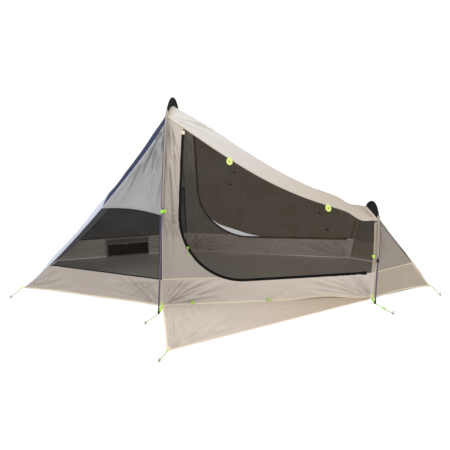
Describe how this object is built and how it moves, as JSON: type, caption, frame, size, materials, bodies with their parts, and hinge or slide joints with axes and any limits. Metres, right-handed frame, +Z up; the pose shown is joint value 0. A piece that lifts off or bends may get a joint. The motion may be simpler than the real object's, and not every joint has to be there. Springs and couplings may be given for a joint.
{
  "type": "a frame tent",
  "caption": "Low A-frame tent on two hooped poles, with a sloping ridge, mesh end wall and side doors, porch flaps, guy cords and pegs.",
  "frame": {"origin": "middle of the floor sheet, on the ground plane", "axes": "+X from the head end to the foot end, -Y the near side with the first door, +Z up"},
  "size_m": [2.6672, 2.9288, 1.2089],
  "materials": {
    "canopy": "satin",
    "mesh": "matte",
    "floor": "satin",
    "web": "matte",
    "pole": "satin",
    "tip": "matte",
    "peg": "satin",
    "zip": "matte",
    "fitting": "satin",
    "cord": "matte",
    "webbing": "matte"
  },
  "bodies": {
    "tent": {"roof_panel": "canopy", "stile_near": "canopy", "stile_far": "canopy", "door_mesh_near": "mesh", "door_mesh_far": "mesh", "short_stile_near": "canopy", "short_stile_far": "canopy", "head_panel_near": "canopy", "head_panel_far": "canopy", "head_window_near": "mesh", "head_window_far": "mesh", "head_wall_upper": "mesh", "head_wall_lower": "canopy", "foot_panel_near": "canopy", "foot_panel_far": "canopy", "foot_wall_upper": "mesh", "foot_wall_lower": "canopy", "skirt_near": "canopy", "skirt_far": "canopy", "floor_sheet": "floor", "wall_pocket": "mesh", "tall_arch": "pole", "tall_upper_near": "pole", "tall_upper_far": "pole", "tall_lower_near": "pole", "tall_lower_far": "pole", "short_arch": "pole", "short_leg_near": "pole", "short_leg_far": "pole", "ferrules": "pole", "pole_tips": "tip", "shock_cords": "cord", "tall_arch_cap": "web", "short_arch_cap": "web", "leg_sleeves": "canopy", "leg_clips": "fitting", "foot_tabs": "webbing", "zip_near": "zip", "zip_far": "zip", "tieback_loops": "cord", "corner_guys": "cord", "pole_guys": "cord", "ground_pegs": "peg", "hem_toggles": "fitting"},
    "door_flap_near": {"door_flap_near": "mesh"},
    "door_flap_far": {"door_flap_far": "mesh"},
    "porch_near": {"porch_near": "canopy", "porch_guy_near": "cord"},
    "porch_far": {"porch_far": "canopy", "porch_guy_far": "cord"},
    "zip_slider_near": {"zip_slider_near": "fitting"},
    "zip_slider_far": {"zip_slider_far": "fitting"},
    "zip_pull_near": {"zip_pull_near": "cord"},
    "zip_pull_far": {"zip_pull_far": "cord"},
    "tieback_tall_near": {"tieback_tall_near": "cord"},
    "tieback_tall_far": {"tieback_tall_far": "cord"},
    "tieback_short_near": {"tieback_short_near": "cord"},
    "tieback_short_far": {"tieback_short_far": "cord"},
    "tensioner_near": {"tensioner_near": "fitting"},
    "tensioner_far": {"tensioner_far": "fitting"}
  },
  "joints": [
    {"name": "door_near_open", "type": "hinge", "parent": "tent", "child": "door_flap_near", "pos_m": [-0.259, -0.31621, 0.976], "axis": [-0.8041, 0.0957, 0.5868], "range_deg": [0, 90]},
    {"name": "porch_near_lift", "type": "hinge", "parent": "tent", "child": "porch_near", "pos_m": [-0.344, -0.6805, 0.003], "axis": [-0.989, -0.1479, 0], "range_deg": [0, 80]},
    {"name": "slider_near_run", "type": "hinge", "parent": "tent", "child": "zip_slider_near", "pos_m": [0.1168, -0.49153, 0.50895], "axis": [0.1442, -0.9664, 0.2128], "range_deg": [-18, 45]},
    {"name": "pull_near_lift", "type": "hinge", "parent": "zip_slider_near", "child": "zip_pull_near", "pos_m": [-0.20886, -0.58845, 0.34118], "axis": [-0.9903, -0.1392, 0], "range_deg": [0, 65]},
    {"name": "tieback_tall_near_swing", "type": "hinge", "parent": "tent", "child": "tieback_tall_near", "pos_m": [0.03128, -0.28595, 0.82265], "axis": [1, 0, 0], "range_deg": [-28, 45]},
    {"name": "tieback_short_near_swing", "type": "hinge", "parent": "tent", "child": "tieback_short_near", "pos_m": [0.64377, -0.27242, 0.52973], "axis": [1, 0, 0], "range_deg": [-28, 45]},
    {"name": "tensioner_near_slide", "type": "slide", "parent": "tent", "child": "tensioner_near", "axis": [0.3875, -0.9219, 0], "range_m": [-0.05, 0.06]},
    {"name": "door_far_open", "type": "hinge", "parent": "tent", "child": "door_flap_far", "pos_m": [-0.259, 0.31621, 0.976], "axis": [0.8041, 0.0957, -0.5868], "range_deg": [0, 90]},
    {"name": "porch_far_lift", "type": "hinge", "parent": "tent", "child": "porch_far", "pos_m": [-0.344, 0.6805, 0.003], "axis": [0.989, -0.1479, 0], "range_deg": [0, 80]},
    {"name": "slider_far_run", "type": "hinge", "parent": "tent", "child": "zip_slider_far", "pos_m": [0.1168, 0.49153, 0.50895], "axis": [-0.1442, -0.9664, -0.2128], "range_deg": [-18, 45]},
    {"name": "pull_far_lift", "type": "hinge", "parent": "zip_slider_far", "child": "zip_pull_far", "pos_m": [-0.20886, 0.58845, 0.34118], "axis": [0.9903, -0.1392, 0], "range_deg": [0, 65]},
    {"name": "tieback_tall_far_swing", "type": "hinge", "parent": "tent", "child": "tieback_tall_far", "pos_m": [0.03128, 0.28595, 0.82265], "axis": [-1, 0, 0], "range_deg": [-28, 45]},
    {"name": "tieback_short_far_swing", "type": "hinge", "parent": "tent", "child": "tieback_short_far", "pos_m": [0.64377, 0.27242, 0.52973], "axis": [-1, 0, 0], "range_deg": [-28, 45]},
    {"name": "tensioner_far_slide", "type": "slide", "parent": "tent", "child": "tensioner_far", "axis": [0.3875, 0.9219, 0], "range_m": [-0.05, 0.06]}
  ]
}
